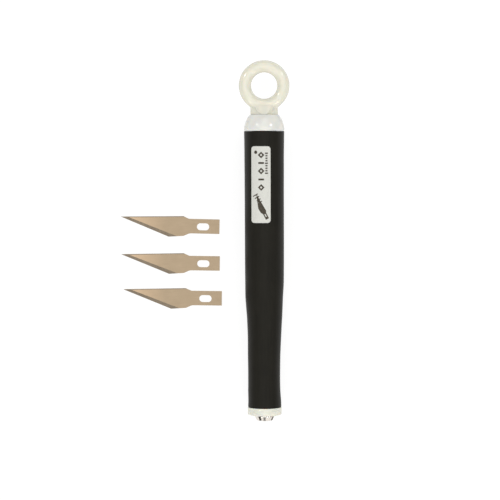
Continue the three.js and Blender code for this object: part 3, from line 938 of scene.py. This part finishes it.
# ---------------------------------------------------------------- inner parts
INNER_FINISH = {
    "barrel": WHITE_PLASTIC, "collet_seat": STEEL, "guide_bush": BRASS, "key_pin": STEEL,
    "coupling_nut": BRASS, "nut_pin": STEEL, "drive_rod": STEEL, "rear_bush": NYLON,
    "thrust_washer_front": STEEL, "retaining_clip": STEEL, "thrust_washer_rear": STEEL,
    "knob_pin": STEEL, "drag_ring": SEAL_RUBBER,
}


def finish_inner_parts():
    """Gives the CAD pieces inside the knife, which keep their shapes, a material each."""
    for name, surface in INNER_FINISH.items():
        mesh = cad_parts[name].data
        mesh.materials.clear()
        mesh.materials.append(surface)


# ---------------------------------------------------------------- studio
def floor():
    """A pale table top, far wider than the picture."""
    made, tree, shader = material("pale_floor")
    tone = noise_at(tree, place_of(tree), 0.01, 2)
    wire(tree, shader, {
        "Base Color": ramp(tree, tone, (0.3, grey(0.2)), (0.7, grey(0.22))),
        "Roughness": 0.9,
        "Specular IOR Level": 0.0,
        "Emission Color": grey(1.0),
        "Emission Strength": 0.84,
    })
    half_size = 6
    work = bmesh.new()
    bmesh.ops.create_grid(work, x_segments=2, y_segments=2, size=half_size)
    mesh = bpy.data.meshes.new("floor")
    work.to_mesh(mesh)
    work.free()
    plane = bpy.data.objects.new("floor", mesh)
    plane.location.z = -0.05 * MM
    mesh.materials.append(made)
    bpy.context.scene.collection.objects.link(plane)


def soft_light(name, azimuth, elevation, distance, size, glow, tint):
    """A square soft light aimed at the middle of the set. Azimuth runs clockwise from +Y, in degrees, and
    glow is how bright its face looks."""
    a, e = math.radians(azimuth), math.radians(elevation)
    place = Vector((math.sin(a) * math.cos(e), math.cos(a) * math.cos(e), math.sin(e))) * distance
    lamp = bpy.data.lights.new(name, "AREA")
    lamp.shape = "SQUARE"
    lamp.size = size
    lamp.energy = glow * math.pi * size * size
    lamp.color = tint
    made = bpy.data.objects.new(name, lamp)
    made.location = place
    made.rotation_euler = (-place).to_track_quat("-Z", "Y").to_euler()
    bpy.context.scene.collection.objects.link(made)


WHITE = (1, 1, 1)
WARM = (1, 0.97, 0.93)
# Name, azimuth, elevation, distance, size, glow and tint.
LAMPS = [
    ("overhead", 0, 90, 1.3, 0.9, 0.85, WHITE),
    ("front_left", 212, 22, 1.0, 0.7, 0.85, WARM),
    ("front_right", 148, 22, 1.0, 0.7, 0.85, WARM),
    ("back", 6, 40, 1.2, 0.6, 1.15, WHITE),
    ("low_left", 252, 16, 1.0, 0.22, 1.9, WARM),
    ("low_right", 108, 32, 1.0, 0.22, 2.6, WARM),
    ("spot_front_left", 224, 44, 1.0, 0.18, 9.0, WARM),
    ("spot_front_right", 136, 46, 1.0, 0.18, 9.0, WARM),
    ("spot_back_left", 306, 40, 1.0, 0.16, 15.0, WHITE),
    ("spot_back_right", 54, 42, 1.0, 0.16, 15.0, WHITE),
]


def studio():
    """White towards the camera, a soft grey sky for the reflections, and the lamps."""
    world = bpy.data.worlds.new("studio")
    world.use_nodes = True
    tree = world.node_tree
    background = tree.nodes["Background"]
    height = put(tree, "SeparateXYZ", {"Vector": put(tree, "TexCoord").outputs["Generated"]}).outputs["Z"]
    glow = ramp(tree, height, (0.0, grey(0.38)), (0.25, grey(0.25)), (0.6, grey(0.38)), (0.9, grey(0.75)))
    seen = put(tree, "LightPath").outputs["Is Camera Ray"]
    tree.links.new(mixed(tree, seen, glow, grey(1)), background.inputs["Color"])
    background.inputs["Strength"].default_value = 1.0
    bpy.context.scene.world = world
    for lamp in LAMPS:
        soft_light(*lamp)


def camera():
    """Looks down on the set from a little towards the ring's end, and aims beside its middle, so that the
    set stands where it stands in the photo."""
    tilt = math.radians(3)
    roll = math.radians(-0.12)
    distance = 0.9
    beside = Vector((18.45, -3.78, -3)) * MM
    low, high = cad_box
    aim = (low + high) / 2 + beside
    lens = bpy.data.cameras.new("camera")
    lens.sensor_width = 36
    lens.lens = 159.5
    made = bpy.data.objects.new("camera", lens)
    back = Vector((0, math.sin(tilt), math.cos(tilt)))
    made.location = aim + back * distance
    made.rotation_euler = (-tilt, 0, roll)
    bpy.context.scene.collection.objects.link(made)
    bpy.context.scene.camera = made


grip_sleeve()
nose_ferrule()
end_cap()
label()
label_print()
ring_knob()
collet()
for blade_name in BLADE_TURNS:
    blade(blade_name)
finish_inner_parts()
floor()
studio()
camera()
bpy.context.scene.view_settings.view_transform = "Standard"
